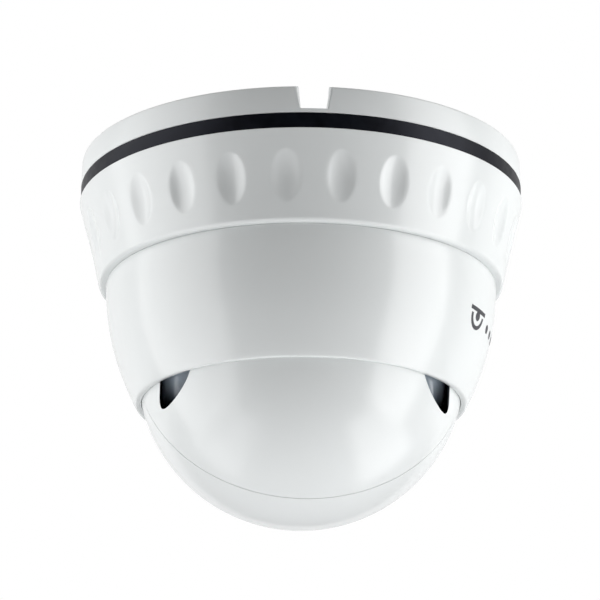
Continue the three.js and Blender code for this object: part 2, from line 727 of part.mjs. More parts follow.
const eyeball = new THREE.Group();
eyeball.position.z = ball.height;
eyeball.rotation.x = degrees(ball.restTilt);
camera.add(eyeball);
addPiece(eyeball, 'rear_cover', rearCover(), looks.whitePlastic);
addPiece(eyeball, 'tilt_frame', tiltFrame(), looks.aluminium);
addPiece(eyeball, 'seam_band', seamBand(), looks.blackRubber);
for (const [side, word] of [[-1, 'left'], [1, 'right']]) {
  const friction = washerAlongX(side, frame.outer + touch, hub.inner - frame.outer - touch, frictionWasher);
  const wave = washerAlongX(side, hub.seat + touch, pivot.washer, pivot.head);
  addPiece(eyeball, `pivot_screw_${word}`, pivotScrew(side), looks.steel);
  addPiece(eyeball, `friction_washer_${word}`, friction, looks.nylon);
  addPiece(eyeball, `wave_washer_${word}`, wave, looks.steel);
}
coverScrews.angles.forEach((angle, i) => {
  const place = onCircle(coverScrews.circle, angle);
  const shape = screw(m3, coverScrews.length, place, frame.earBottom - touch, true);
  addPiece(eyeball, `cover_screw_${i + 1}`, shape, looks.steel);
});

const head = new THREE.Group();
eyeball.add(head);
addPiece(head, 'front_cover', frontCover(), looks.whitePlastic);
addPiece(head, 'window_gasket', windowGasket(), looks.blackRubber);
addPiece(head, 'window_glass', windowGlass(), looks.glass);
addPiece(head, 'window_mask', windowMask(), looks.blackPlastic);
addPiece(head, 'window_o_ring', windowORing(), looks.blackRubber);
addPiece(head, 'light_shield_ring', lightShield(), looks.foam);
addPiece(head, 'ir_board', irBoardSolid(), looks.board);
ledPlaces().forEach((place, i) => addPiece(head, `ir_led_${i + 1}`, ledSolid(place), looks.chip));
addPiece(head, 'light_sensor', lightSensor(), looks.chip);
addPiece(head, 'lens_barrel', lensBarrel(), looks.blackPlastic);
addPiece(head, 'front_lens', frontLens(), looks.glass);
addPiece(head, 'rear_lens', rearLens(), looks.glass);
addPiece(head, 'lens_mount', lensMount(), looks.blackPlastic);
addPiece(head, 'image_sensor', imageSensor(), looks.chip);
addPiece(head, 'sensor_board', sensorBoard(), looks.board);
addPiece(head, 'main_board', mainBoard(), looks.board);
addPiece(head, 'heat_sink', heatSink(), looks.aluminium);
addPiece(head, 'rear_housing', rearHousing(), looks.aluminium);
addPiece(head, 'roll_clip', rollClip(), looks.steel);
addPiece(head, 'cable_gland', cableGland(), looks.blackPlastic);
canScrews.angles.forEach((angle, i) => {
  const shape = screw(m2, canScrews.length, onCircle(canScrews.circle, angle), can.flangeBack + touch);
  addPiece(head, `housing_screw_${i + 1}`, shape, looks.steel);
});

export default camera;
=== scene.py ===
"""A white eyeball dome camera that hangs from its base, seen from behind and a little below."""

import json
import math

import bmesh
import bpy
from mathutils import Matrix, Vector


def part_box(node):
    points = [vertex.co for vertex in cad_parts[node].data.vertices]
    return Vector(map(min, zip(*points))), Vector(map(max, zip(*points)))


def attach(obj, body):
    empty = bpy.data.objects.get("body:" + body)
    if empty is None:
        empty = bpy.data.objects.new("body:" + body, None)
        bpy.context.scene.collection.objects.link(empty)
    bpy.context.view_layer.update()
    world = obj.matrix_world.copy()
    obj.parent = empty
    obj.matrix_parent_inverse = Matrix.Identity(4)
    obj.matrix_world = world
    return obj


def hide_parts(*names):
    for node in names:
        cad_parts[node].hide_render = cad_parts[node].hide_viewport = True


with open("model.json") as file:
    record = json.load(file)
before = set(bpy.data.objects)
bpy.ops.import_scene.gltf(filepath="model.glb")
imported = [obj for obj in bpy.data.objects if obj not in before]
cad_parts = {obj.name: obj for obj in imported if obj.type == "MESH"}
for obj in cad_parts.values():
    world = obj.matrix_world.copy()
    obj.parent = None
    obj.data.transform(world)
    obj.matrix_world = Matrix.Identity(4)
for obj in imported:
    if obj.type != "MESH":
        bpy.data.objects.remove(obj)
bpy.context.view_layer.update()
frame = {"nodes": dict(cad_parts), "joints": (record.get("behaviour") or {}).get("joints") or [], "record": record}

MM = 0.001
JOINTS = {joint["name"]: joint for joint in frame["joints"]}

# ---- Sizes, in millimetres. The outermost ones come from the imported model's boxes ----


def box_mm(node):
    low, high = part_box(node)
    return [value / MM for value in low], [value / MM for value in high]


base_low, base_high = box_mm("base_plate")
gasket_low, gasket_high = box_mm("base_gasket")
grommet_low, grommet_high = box_mm("cable_grommet")
ring_low, ring_high = box_mm("trim_ring")
shell_low, shell_high = box_mm("turret_shell")

# A joined shape reaches this far into its neighbour, and a cutting shape this far past what it cuts.
OVERLAP = 0.2
BEYOND = 1

BASE_RADIUS = base_high[0]
BASE_TAPER = 0.24
BASE_BACK_RADIUS = BASE_RADIUS - BASE_TAPER
BASE_WALL = 2.6
BASE_RIM_INNER = BASE_BACK_RADIUS - BASE_WALL
BASE_THICKNESS = 2.5
BASE_UNDER = -7.7
BASE_FLOOR = BASE_UNDER + BASE_THICKNESS
BASE_MOUTH_INSET = 0.45
COLLAR_MARGIN = 0.1
COLLAR_WALL = 4.2
COLLAR_OUTER = box_mm("pan_friction_ring")[1][0] + COLLAR_MARGIN
COLLAR_INNER = COLLAR_OUTER - COLLAR_WALL
COLLAR_BOTTOM = base_low[2]
CABLE_HOLE = 12.5
BOSS_CIRCLE = 40
BOSS_ANGLES = (90, 210, 330)
BOSS_RADIUS = 5.5
SCREW_HOLE = 2.4
SCREW_RECESS = 4.8
SCREW_RECESS_DEPTH = 3.7
RIB_ANGLES = (0, 45, 135, 180)
RIB_START = 14.4
RIB_TOP = -1.5
RIB_HALF_WIDTH = 0.8

OUTLET_FLOOR = -6.5
OUTLET_HALF_TOP = 3.95
OUTLET_HALF_FLOOR = 3.5
OUTLET_FLARE = 1.3
OUTLET_FLOOR_FLARE = 0.3
OUTLET_WALL = 1.4
OUTLET_WALL_END = -14

GASKET_INNER = 57.3
GASKET_GAP = 0.02
GROMMET_BORE = 8
GROMMET_WAIST = 12.4
GROMMET_GAP = 0.1

RING_RADIUS = ring_high[0]
RING_TOP = ring_high[2]
RING_BOTTOM = ring_low[2]
RING_MIDDLE_RADIUS = 57.95
RING_BOTTOM_RADIUS = 55.25
RING_LIP = 52
RING_SHELF = -27.5
RING_SHELF_RADIUS = 55.1
RING_TOP_INNER = 58.2
DIMPLES = 25
DIMPLE_HALF_WIDTH = 4
DIMPLE_HALF_HEIGHT = 7
DIMPLE_DEPTH = 1
DIMPLE_HEIGHT = -24
# A dimple sinks square to the cone, by this much inwards and this much upwards for each millimetre.
DIMPLE_INWARDS = 0.975
DIMPLE_UPWARDS = 0.22

RING_GAP = 0.06
SHELL_SHOULDER = RING_BOTTOM - RING_GAP
SHELL_RADIUS = shell_high[0]
SHELL_RIM = shell_low[2]
SHELL_SWELL = 0.16
SHELL_BULGE = (SHELL_RADIUS + SHELL_SWELL, (SHELL_SHOULDER + SHELL_RIM) / 2)
SHELL_RIM_RADIUS = 44.72
SHELL_RIM_INNER = 43.22
SHELL_RIM_LIP = 0.25
SHELL_WALL = 2.3
BALL_GAP = 0.12
NECK_OUTER = 51.5
NECK_INNER = 48.9
NECK_TOP = -27.1
NECK_FOOT = SHELL_SHOULDER - 1.5

PIVOT_BORE = 3.3
PIVOT_BOSS = 8.5
PIVOT_BOSS_FACE = 29.7
PIVOT_RECESS = 6.2
PIVOT_RECESS_FLOOR = 35.3
HUB_RADIUS = 21
HUB_HOLLOW = 18.6
HUB_HOLLOW_FLOOR = 33
HUB_INNER_FACE = 29.6
HUB_OUTER_FACE = 38
ARM_INNER = 32
ARM_OUTER = 34.5
ARM_HALF_WIDTH = 4.5
ARM_FOOT = 14
TAB_END = 46
TAB_HALF_WIDTH = 7
TAB_THICKNESS = 2
TAB_SCREW_HOLE = 1.7
TAB_SCREW_ACROSS = 42
TAB_SCREW_OFFSET = 4

BALL_RADIUS = box_mm("front_cover")[1][0]
BALL_WALL = 2.51
BALL_INNER = BALL_RADIUS - BALL_WALL
BALL_CENTRE = Vector(JOINTS["tilt"]["pos_m"])
OPTICAL_AXIS = Vector(JOINTS["roll"]["axis"])
BALL_TILT = math.atan2(OPTICAL_AXIS.y, -OPTICAL_AXIS.z)
BEYOND_BALL = BALL_RADIUS + 2 * BEYOND
SEAM = 0.2
SEAM_BAND_THICKNESS = 0.35
SEAM_BAND_HALF = 1
SLOT_INNER = 30.6
SLOT_OUTER = 38.6
SLOT_END = -23.5
SLOT_FLOOR = 0.9
GLAND_HOLE = 8
FACE = -33.4
FACE_OPENING = 26
SEAT = -31.9
SEAT_RADIUS = 28.3
SEAT_BACK = -31

# The window and what lies behind it, as heights along the lens axis and as radii.
WINDOW_RADIUS = 27.4
WINDOW_FRONT = -31.15
WINDOW_BACK = -29.3
SEAL_FRONT = -31.8
SEAL_BACK = -31.25
MASK_FRONT = -29.2
MASK_BACK = -28.3
MASK_OPENING = 10.2
MASK_CUT_FRONT = -30
MASK_CUT_BACK = -27
EMITTER_CIRCLE = 18.5
EMITTER_COUNT = 6
EMITTER_HOLE = 3.4
SENSOR_HOLE = 1.6
EMITTER_RADIUS = 2.2
EMITTER_BACK = -25.1
EMITTER_SHOULDER = -28.2
EMITTER_TIP = -28.8
CUP_BACK = -25.2
CUP_RIM = -28.2
BARREL_FRONT = -28.2
BARREL_SHOULDER = -18
BARREL_BACK = -4
BARREL_RADIUS = 8.3
BARREL_TAIL_RADIUS = 7
BARREL_BORE = 4.5
ELEMENT_RADIUS = 5.3
ELEMENT_FRONT = -26.9
ELEMENT_BACK = -24.1
ELEMENT_DOME = 2.6

EMBLEM_ACROSS = -24.6
EMBLEM_HEIGHT = -50.2
EMBLEM_BAR_HALF = 4.8
EMBLEM_BAR_BOTTOM = 0.7
EMBLEM_BAR_TOP = 1.8
EMBLEM_RING_INNER = 2.9
EMBLEM_RING_OUTER = 4
EMBLEM_EYE = 1.3
EMBLEM_EYE_DROP = 0.3
EMBLEM_DOT = 1.2
EMBLEM_DOT_DROP = 1.2
EMBLEM_DOT_PLACES = (9, 14, 19)
PRINT_LIFT = 0.03
PRINT_THICKNESS = 0.04
PRINT_PINHOLE = 0.02

# How many sides stand for a circle.
LARGE_ROUND = 192
MIDDLE_ROUND = 128
SMALL_ROUND = 96
TINY_ROUND = 48
FINE_HOLE = 32
THIN_HOLE = 24

# Edges that turn by more degrees than this are drawn sharp.
SHARP_ANGLE = 35

# The eyeball's own frame: its centre is the origin, X is the tilt axis and the lens looks along -Z.
EYEBALL = Matrix.Translation(BALL_CENTRE) @ Matrix.Rotation(BALL_TILT, 4, "X")
YOKE = Matrix.Translation(BALL_CENTRE)
HERE = Matrix.Identity(4)

# ---- Mesh building ----


def piece(name, bm, material, body, place=HERE, stands_for=()):
    """Makes an object from a bmesh in millimetres, puts it in place and says what it rides on."""
    bmesh.ops.recalc_face_normals(bm, faces=bm.faces)
    bm.transform(place @ Matrix.Scale(MM, 4))
    mesh = bpy.data.meshes.new(name)
    bm.to_mesh(mesh)
    bm.free()
    mesh.polygons.foreach_set("use_smooth", [True] * len(mesh.polygons))
    mesh.set_sharp_from_angle(angle=math.radians(SHARP_ANGLE))
    mesh.materials.append(material)
    made = bpy.data.objects.new(name, mesh)
    bpy.context.scene.collection.objects.link(made)
    if stands_for:
        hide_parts(*stands_for)
    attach(made, body)


def rounded(corners):
    """Points of a closed outline of (radius, height, fillet) corners, with each fillet as an arc."""
    points = []
    count = len(corners)
    for i, (radius, height, fillet) in enumerate(corners):
        steps = 4 if fillet < 1 else 16
        here = Vector((radius, height))
        if fillet <= 0:
            points.append(here)
            continue
        before = (Vector(corners[i - 1][:2]) - here).normalized()
        after = (Vector(corners[(i + 1) % count][:2]) - here).normalized()
        half = before.angle(after) / 2
        reach = fillet / math.tan(half)
        centre = here + (before + after).normalized() * fillet / math.sin(half)
        start = here + before * reach - centre
        end = here + after * reach - centre
        for k in range(steps + 1):
            points.append(centre + start.slerp(end, k / steps) * fillet)
    return points


def revolved(points, sides=LARGE_ROUND, lift=None):
    """A closed outline of (radius, height) points turned round Z. lift moves each point by its angle."""
    bm = bmesh.new()
    rings = []
    for k in range(sides):
        angle = math.tau * k / sides
        turn = (math.cos(angle), math.sin(angle))
        ring = []
        for i, (radius, height) in enumerate(points):
            if lift:
                radius, height = lift(i, radius, height, angle)
            ring.append(bm.verts.new((radius * turn[0], radius * turn[1], height)))
        rings.append(ring)
    count = len(points)
    for k, ring in enumerate(rings):
        following = rings[(k + 1) % sides]
        for i in range(count):
            j = (i + 1) % count
            bm.faces.new((ring[i], following[i], following[j], ring[j]))
    bmesh.ops.remove_doubles(bm, verts=bm.verts, dist=1e-4)
    bmesh.ops.dissolve_degenerate(bm, dist=1e-5, edges=bm.edges)
    return bm


def block(low, high, turn=0):
    """A box between two corners, turned about Z by an angle in degrees."""
    bm = bmesh.new()
    bmesh.ops.create_cube(bm, size=1)
    size = [b - a for a, b in zip(low, high)]
    middle = [(a + b) / 2 for a, b in zip(low, high)]
    matrix = Matrix.Rotation(math.radians(turn), 4, "Z") @ Matrix.Translation(middle)
    bm.transform(matrix @ Matrix.Diagonal((*size, 1)))
    return bm


def post(radius, bottom, top, place=(0, 0), sides=TINY_ROUND):
    """An upright cylinder between two heights."""
    bm = bmesh.new()
    bmesh.ops.create_cone(
        bm, cap_ends=True, segments=sides, radius1=radius, radius2=radius, depth=top - bottom,
    )
    bm.transform(Matrix.Translation((*place, (top + bottom) / 2)))
    return bm


def prism(outline, start, end, end_outline=None):
    """An outline in the XY plane, drawn out along Z to the same or to another outline."""
    bm = bmesh.new()
    ends = ((outline, start), (end_outline or outline, end))
    rings = [[bm.verts.new((x, y, z)) for x, y in points] for points, z in ends]
    bm.faces.new(rings[0])
    bm.faces.new(rings[1])
    for i in range(len(outline)):
        j = (i + 1) % len(outline)
        bm.faces.new((rings[0][i], rings[0][j], rings[1][j], rings[1][i]))
    return bm


def combined(bm, tool, operation):
    """Joins a tool to a solid (UNION) or cuts it away (DIFFERENCE), and returns the result as a bmesh."""
    objects = []
    for name, source in (("solid", bm), ("tool", tool)):
        bmesh.ops.recalc_face_normals(source, faces=source.faces)
        mesh = bpy.data.meshes.new(name)
        source.to_mesh(mesh)
        source.free()
        made = bpy.data.objects.new(name, mesh)
        bpy.context.scene.collection.objects.link(made)
        objects.append(made)
    solid, cutter = objects
    modifier = solid.modifiers.new("join", "BOOLEAN")
    modifier.operation = operation
    modifier.object = cutter
    modifier.solver = "EXACT"
    evaluated = solid.evaluated_get(bpy.context.evaluated_depsgraph_get())
    result = bmesh.new()
    result.from_mesh(evaluated.to_mesh())
    for made in objects:
        mesh = made.data
        bpy.data.objects.remove(made)
        bpy.data.meshes.remove(mesh)
    bmesh.ops.remove_doubles(result, verts=result.verts, dist=1e-4)
    return result


def bevel_edges(bm, chosen, width):
    """Rounds the sharp edges whose middle passes the test."""
    edges = [
        edge for edge in bm.edges
        if len(edge.link_faces) == 2
        and edge.calc_face_angle(0) > math.radians(SHARP_ANGLE)
        and chosen((edge.verts[0].co + edge.verts[1].co) / 2)
    ]
    bmesh.ops.bevel(
        bm, geom=edges, offset=width, segments=2, profile=0.5, affect="EDGES", clamp_overlap=True,
    )


def on_circle(radius, angle):
    """The (x, y) point at a radius and an angle in degrees."""
    return radius * math.cos(math.radians(angle)), radius * math.sin(math.radians(angle))


def arc(radius, from_height, to_height, steps):
    """Points on a circle about the origin from one height to another, on its side of positive radius."""
    start = math.asin(from_height / radius)
    end = math.asin(to_height / radius)
    angles = [start + (end - start) * k / steps for k in range(steps + 1)]
    return [(max(radius * math.cos(a), 0), radius * math.sin(a)) for a in angles]


# ---- Materials ----


class Look:
    """A Principled material whose colour, roughness and bump come from procedural textures."""

    def __init__(self, name, **constants):
        self.material = bpy.data.materials.new(name)
        self.material.use_nodes = True
        self.tree = self.material.node_tree
        self.shader = self.tree.nodes["Principled BSDF"]
        for key, value in constants.items():
            self.shader.inputs[key.replace("_", " ")].default_value = value
        self.place = self.tree.nodes.new("ShaderNodeTexCoord").outputs["Object"]

    def link(self, output, target):
        self.tree.links.new(output, target)

    def noise(self, size, detail=3, stretch=None):
        """Noise whose blobs are about size millimetres across."""
        node = self.tree.nodes.new("ShaderNodeTexNoise")
        node.inputs["Scale"].default_value = 1 / (size * MM)
        node.inputs["Detail"].default_value = detail
        place = self.place
        if stretch:
            mapping = self.tree.nodes.new("ShaderNodeMapping")
            mapping.inputs["Scale"].default_value = stretch
            self.link(place, mapping.inputs["Vector"])
            place = mapping.outputs["Vector"]
        self.link(place, node.inputs["Vector"])
        return node.outputs["Fac"]

    def fade(self, start, end):
        """Rises from 0 to 1 between two heights in millimetres, with a little noise in it."""
        axes = self.tree.nodes.new("ShaderNodeSeparateXYZ")
        self.link(self.place, axes.inputs["Vector"])
        ramp = self.tree.nodes.new("ShaderNodeMapRange")
        ramp.inputs["From Min"].default_value = start * MM
        ramp.inputs["From Max"].default_value = end * MM
        self.link(axes.outputs["Z"], ramp.inputs["Value"])
        speck = self.tree.nodes.new("ShaderNodeMath")
        speck.operation = "MULTIPLY_ADD"
        share_of_noise = 0.04
        speck.inputs[1].default_value = share_of_noise
        self.link(self.noise(3), speck.inputs[0])
        self.link(ramp.outputs["Result"], speck.inputs[2])
        return speck.outputs["Value"]

    def colours(self, value, low, high, start=0.35, end=0.65):
        """Takes the base colour from low to high while the value goes from start to end."""
        ramp = self.tree.nodes.new("ShaderNodeValToRGB")
        ramp.color_ramp.elements[0].position = start
        ramp.color_ramp.elements[0].color = (*low, 1)
        ramp.color_ramp.elements[1].position = end
        ramp.color_ramp.elements[1].color = (*high, 1)
        self.link(value, ramp.inputs["Fac"])
        self.link(ramp.outputs["Color"], self.shader.inputs["Base Color"])

    def rough(self, value, low, high):
        """Takes the roughness from low to high over the middle of the value's range."""
        spread = self.tree.nodes.new("ShaderNodeMapRange")
        spread.inputs["From Min"].default_value = 0.3
        spread.inputs["From Max"].default_value = 0.7
        spread.inputs["To Min"].default_value = low
        spread.inputs["To Max"].default_value = high
        self.link(value, spread.inputs["Value"])
        self.link(spread.outputs["Result"], self.shader.inputs["Roughness"])

    def bump(self, value, depth):
        """Adds relief, depth millimetres high."""
        node = self.tree.nodes.new("ShaderNodeBump")
        node.inputs["Distance"].default_value = depth * MM
        self.link(value, node.inputs["Height"])
        self.link(node.outputs["Normal"], self.shader.inputs["Normal"])


def white_plastic():
    look = Look("white_plastic", Coat_Weight=0.35, Coat_Roughness=0.16)
    look.colours(look.noise(22), (0.783, 0.808, 0.807), (0.79, 0.815, 0.813))
    look.rough(look.noise(9), 0.22, 0.25)
    look.bump(look.noise(2.5, 1), 0.001)
    return look.material


def white_metal():
    look = Look("white_metal", Coat_Weight=0.2, Coat_Roughness=0.2)
    look.colours(look.noise(18), (0.772, 0.797, 0.797), (0.782, 0.807, 0.805))
    look.rough(look.noise(7), 0.3, 0.34)
    look.bump(look.noise(1.5, 1), 0.002)
    return look.material


def black_rubber():
    look = Look("black_rubber", IOR=1.3, Specular_Tint=(0.8, 0.82, 1, 1))
    look.colours(look.noise(4), (0.002, 0.0025, 0.004), (0.004, 0.005, 0.008))
    look.rough(look.noise(2), 0.36, 0.46)
    look.bump(look.noise(0.3), 0.01)
    return look.material


def dark_plastic():
    """Blue-grey plastic with painted light and shade: pale near the top, where light comes in through the slot,
    and painted shade darkening it towards its lower end.
    """
    look = Look("dark_plastic", Coat_Weight=0.5, Coat_Roughness=0.1)
    # Painted light and shade: pale blue-grey high up standing in for the light through the slot, going to near
    # black lower down as painted shade.
    look.colours(look.fade(-63, -73), (0.76, 0.88, 1), (0.02, 0.025, 0.045), 0.15, 1)
    look.rough(look.noise(3), 0.2, 0.26)
    look.bump(look.noise(2, 1), 0.001)
    return look.material


def black_plastic():
    look = Look("black_plastic")
    look.colours(look.noise(5), (0.008, 0.008, 0.01), (0.018, 0.018, 0.022))
    look.rough(look.noise(2), 0.45, 0.6)
    look.bump(look.noise(0.25, 2), 0.012)
    return look.material


def nylon():
    look = Look("nylon", Subsurface_Weight=0.1)
    look.colours(look.noise(6), (0.55, 0.51, 0.41), (0.64, 0.6, 0.5))
    look.rough(look.noise(2), 0.4, 0.5)
    return look.material


def steel():
    look = Look("steel", Metallic=1.0)
    look.colours(look.noise(3), (0.5, 0.51, 0.53), (0.62, 0.63, 0.65))
    look.rough(look.noise(1.5), 0.24, 0.38)
    look.bump(look.noise(0.4, 2, (1, 6, 1)), 0.004)
    return look.material


def aluminium():
    look = Look("aluminium", Metallic=1.0)
    look.colours(look.noise(7), (0.48, 0.5, 0.53), (0.58, 0.6, 0.63))
    look.rough(look.noise(2), 0.38, 0.5)
    look.bump(look.noise(0.35), 0.015)
    return look.material


def board():
    """Green solder mask with a pattern of raised copper tracks under it."""
    look = Look("board", Coat_Weight=0.5, Coat_Roughness=0.15)
    tracks = look.tree.nodes.new("ShaderNodeTexBrick")
    tracks.inputs["Scale"].default_value = 1 / (4 * MM)
    tracks.inputs["Mortar Size"].default_value = 0.06
    look.link(look.place, tracks.inputs["Vector"])
    look.colours(tracks.outputs["Fac"], (0.012, 0.085, 0.035), (0.03, 0.16, 0.07), 0.2, 0.8)
    look.rough(look.noise(3), 0.3, 0.42)
    look.bump(tracks.outputs["Fac"], 0.03)
    return look.material


def chip():
    look = Look("chip")
    look.colours(look.noise(2), (0.014, 0.015, 0.018), (0.026, 0.028, 0.033))
    look.rough(look.noise(0.8), 0.35, 0.5)
    look.bump(look.noise(0.15, 2), 0.008)
    return look.material


def foam():
    look = Look("foam")
    cells = look.tree.nodes.new("ShaderNodeTexVoronoi")
    cells.inputs["Scale"].default_value = 1 / (0.5 * MM)
    look.link(look.place, cells.inputs["Vector"])
    look.colours(cells.outputs["Distance"], (0.004, 0.004, 0.005), (0.014, 0.014, 0.016), 0.1, 0.6)
    look.rough(look.noise(1), 0.85, 0.95)
    look.bump(cells.outputs["Distance"], 0.12)
    return look.material


def window_glass():
    look = Look("window_glass", Transmission_Weight=1.0, IOR=1.49)
    look.colours(look.noise(30), (0.5, 0.51, 0.55), (0.54, 0.55, 0.59))
    look.rough(look.noise(12), 0.0, 0.015)
    return look.material


def lens_glass():
    look = Look("lens_glass", Coat_Weight=1.0, Coat_Roughness=0.02, Specular_IOR_Level=0.8)
    look.colours(look.noise(5), (0.012, 0.01, 0.035), (0.02, 0.03, 0.06))
    look.rough(look.noise(4), 0.02, 0.05)
    return look.material


def emitter_glass():
    look = Look("emitter_glass", Transmission_Weight=0.6, IOR=1.5)
    look.colours(look.noise(2), (0.55, 0.57, 0.62), (0.7, 0.72, 0.78))
    look.rough(look.noise(1), 0.04, 0.1)
    return look.material


def bright_cup():
    look = Look("bright_cup", Metallic=1.0)
    look.colours(look.noise(1.5), (0.7, 0.71, 0.73), (0.82, 0.83, 0.85))
    look.rough(look.noise(0.8), 0.12, 0.2)
    return look.material


def grey_print():
    look = Look("grey_print")
    look.colours(look.noise(2), (0.035, 0.037, 0.045), (0.05, 0.052, 0.062))
    look.rough(look.noise(1), 0.4, 0.5)
    look.bump(look.noise(0.2, 2), 0.004)
    return look.material


def pale_floor():
    look = Look("pale_floor")
    look.colours(look.noise(60), (0.9, 0.9, 0.91), (0.94, 0.94, 0.95))
    look.rough(look.noise(25), 0.6, 0.75)
    return look.material


WHITE = white_plastic()
PAINTED = white_metal()
RUBBER = black_rubber()
# This material's colour holds painted light and shade: pale at the top, painted shade towards its lower end.
PAINTED_SHADE_PLASTIC = dark_plastic()
BLACK = black_plastic()
NYLON = nylon()
STEEL = steel()
ALUMINIUM = aluminium()
BOARD = board()
CHIP = chip()
FOAM = foam()
WINDOW = window_glass()
LENS = lens_glass()
EMITTER = emitter_glass()
CUP = bright_cup()
PRINT = grey_print()
FLOOR = pale_floor()

BY_SLOT = {
    "white_plastic": WHITE, "white_metal": PAINTED, "black_rubber": RUBBER, "dark_plastic": PAINTED_SHADE_PLASTIC,
    "black_plastic": BLACK, "nylon": NYLON, "steel": STEEL, "aluminium": ALUMINIUM, "board": BOARD,
    "glass": WINDOW, "lens_glass": LENS, "foam": FOAM, "chip": CHIP,
}


def paint_frame():
    """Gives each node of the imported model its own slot's material."""
    for part in frame["record"]["subparts"]:
        mesh = frame["nodes"][part["node"]].data
        mesh.materials.clear()
        mesh.materials.append(BY_SLOT[part["material_slot"]])


# ---- Base ----


def make_base():
    """The plate with its collar below, its rim, ribs and screw bosses above, and its cable outlet."""
    bm = revolved(rounded([
        (BASE_RADIUS, BASE_UNDER, 0.45), (BASE_BACK_RADIUS, 0, 0.9),
        (BASE_RIM_INNER, 0, 0.4), (BASE_RIM_INNER, BASE_FLOOR, 0.6),
        (CABLE_HOLE, BASE_FLOOR, 0.3), (CABLE_HOLE, BASE_UNDER, 0.3),
        (COLLAR_INNER, BASE_UNDER, 0.3), (COLLAR_INNER, COLLAR_BOTTOM, 0.4),
        (COLLAR_OUTER, COLLAR_BOTTOM, 0.4), (COLLAR_OUTER, BASE_UNDER, 0.3),
    ]))
    root = BASE_FLOOR - OVERLAP
    end = BASE_RIM_INNER + OVERLAP
    for angle in RIB_ANGLES:
        rib = block((RIB_START, -RIB_HALF_WIDTH, root), (end, RIB_HALF_WIDTH, RIB_TOP), angle)
        bm = combined(bm, rib, "UNION")
    for side in (-1, 1):
        inner, outer = sorted((side * OUTLET_HALF_TOP, side * (OUTLET_HALF_TOP + OUTLET_WALL)))
        wall = block((inner, -end, root), (outer, OUTLET_WALL_END, RIB_TOP))
        bm = combined(bm, wall, "UNION")
    below = BASE_UNDER - BEYOND
    for angle in BOSS_ANGLES:
        place = on_circle(BOSS_CIRCLE, angle)
        bm = combined(bm, post(BOSS_RADIUS, root, 0, place), "UNION")
        bm = combined(bm, post(SCREW_HOLE, below, BEYOND, place), "DIFFERENCE")
        recess = post(SCREW_RECESS, below, BASE_UNDER + SCREW_RECESS_DEPTH, place)
        bm = combined(bm, recess, "DIFFERENCE")
    bm = combined(bm, outlet_tool(), "DIFFERENCE")
    piece("base_body", bm, PAINTED, "base", stands_for=["base_plate"])


def outlet_tool():
    """The channel for the cable: wider at the ceiling than at its floor, with a rounded mouth."""
    lean = (OUTLET_HALF_TOP - OUTLET_HALF_FLOOR) / -OUTLET_FLOOR
    floor = outlet_outline(OUTLET_HALF_FLOOR, OUTLET_FLOOR_FLARE)
    top = outlet_outline(OUTLET_HALF_TOP + lean * BEYOND, OUTLET_FLARE)
    return prism(floor, OUTLET_FLOOR, BEYOND, end_outline=top)


def outlet_outline(half, flare):
    """The channel's outline seen from above, with its half width and the rounding of its mouth."""
    mouth = BASE_MOUTH_INSET - BASE_BACK_RADIUS
    right = [(half, BEYOND - CABLE_HOLE)]
    steps = 12
    for k in range(steps + 1):
        turn = math.radians(90 * k / steps)
        right.append((half + flare * (1 - math.cos(turn)), mouth + flare * (1 - math.sin(turn))))
    right.append((half + flare, mouth - 3 * BEYOND))
    return right + [(-x, y) for x, y in reversed(right)]


def make_gasket():
    outer = gasket_high[0]
    top = BASE_UNDER - GASKET_GAP
    bottom = gasket_low[2]
    bm = revolved(rounded([
        (GASKET_INNER, top, 0.2), (outer, top, 0), (outer, bottom, 0.3), (GASKET_INNER, bottom, 0.2),
    ]))
    piece("gasket_ring", bm, RUBBER, "base", stands_for=["base_gasket"])


def make_grommet():
    """A rubber ring with a groove round it that grips the edge of the cable hole."""
    flange = grommet_high[0]
    bottom = grommet_low[2]
    top = grommet_high[2]
    groove_bottom = BASE_UNDER - GROMMET_GAP
    groove_top = BASE_FLOOR + GROMMET_GAP
    bm = revolved(rounded([
        (GROMMET_BORE, bottom, 0.5), (flange, bottom, 0.6),
        (flange, groove_bottom, 0.4), (GROMMET_WAIST, groove_bottom, 0.2),
        (GROMMET_WAIST, groove_top, 0.2), (flange, groove_top, 0.4),
        (flange, top, 0.6), (GROMMET_BORE, top, 0.5),
    ]), SMALL_ROUND)
    piece("grommet_ring", bm, RUBBER, "base", stands_for=["cable_grommet"])


# ---- Trim ring ----


def dimple_drop(angle, height):
    """How deep the surface lies below the cone, in millimetres, at an angle and a height."""
    pitch = math.tau / DIMPLES
    off = ((angle - math.pi / 2) / pitch + 0.5) % 1 - 0.5
    across = off * pitch * RING_MIDDLE_RADIUS / DIMPLE_HALF_WIDTH
    along = (height - DIMPLE_HEIGHT) / DIMPLE_HALF_HEIGHT
    inside = 1 - across ** 2 - along ** 2
    if inside <= 0:
        return 0
    soft_edge = 0.12
    return DIMPLE_DEPTH * inside ** 2 / (inside + soft_edge) * (1 + soft_edge)


def make_trim_ring():
    """A cone with a fine grid over its outside, so that the dimples are smooth in the mesh itself."""
    rows = 72
    columns_per_dimple = 24
    top_edge = 0.3
    bottom_edge = 1.3
    high = RING_TOP - top_edge
    low = RING_BOTTOM + bottom_edge
    heights = [high + (low - high) * k / rows for k in range(rows + 1)]
    wall = [Vector((ring_radius(height), height)) for height in heights]
    rest = rounded([
        (*wall[-1], 0), (RING_BOTTOM_RADIUS, RING_BOTTOM, 1.2), (RING_LIP, RING_BOTTOM, 0.4),
        (RING_LIP, RING_SHELF, 0.3), (RING_SHELF_RADIUS, RING_SHELF, 0.3),
        (RING_TOP_INNER, RING_TOP, 0.3), (RING_RADIUS, RING_TOP, 0.2), (*wall[0], 0),
    ])[1:-1]

    def lift(i, radius, height, angle):
        """Moves the points of the outside, and no others, square to the cone."""
        if i >= len(wall):
            return radius, height
        drop = dimple_drop(angle, height)
        return radius - drop * DIMPLE_INWARDS, height + drop * DIMPLE_UPWARDS

    bm = revolved(wall + rest, DIMPLES * columns_per_dimple, lift)
    piece("ring_body", bm, WHITE, "twist_ring", stands_for=["trim_ring"])


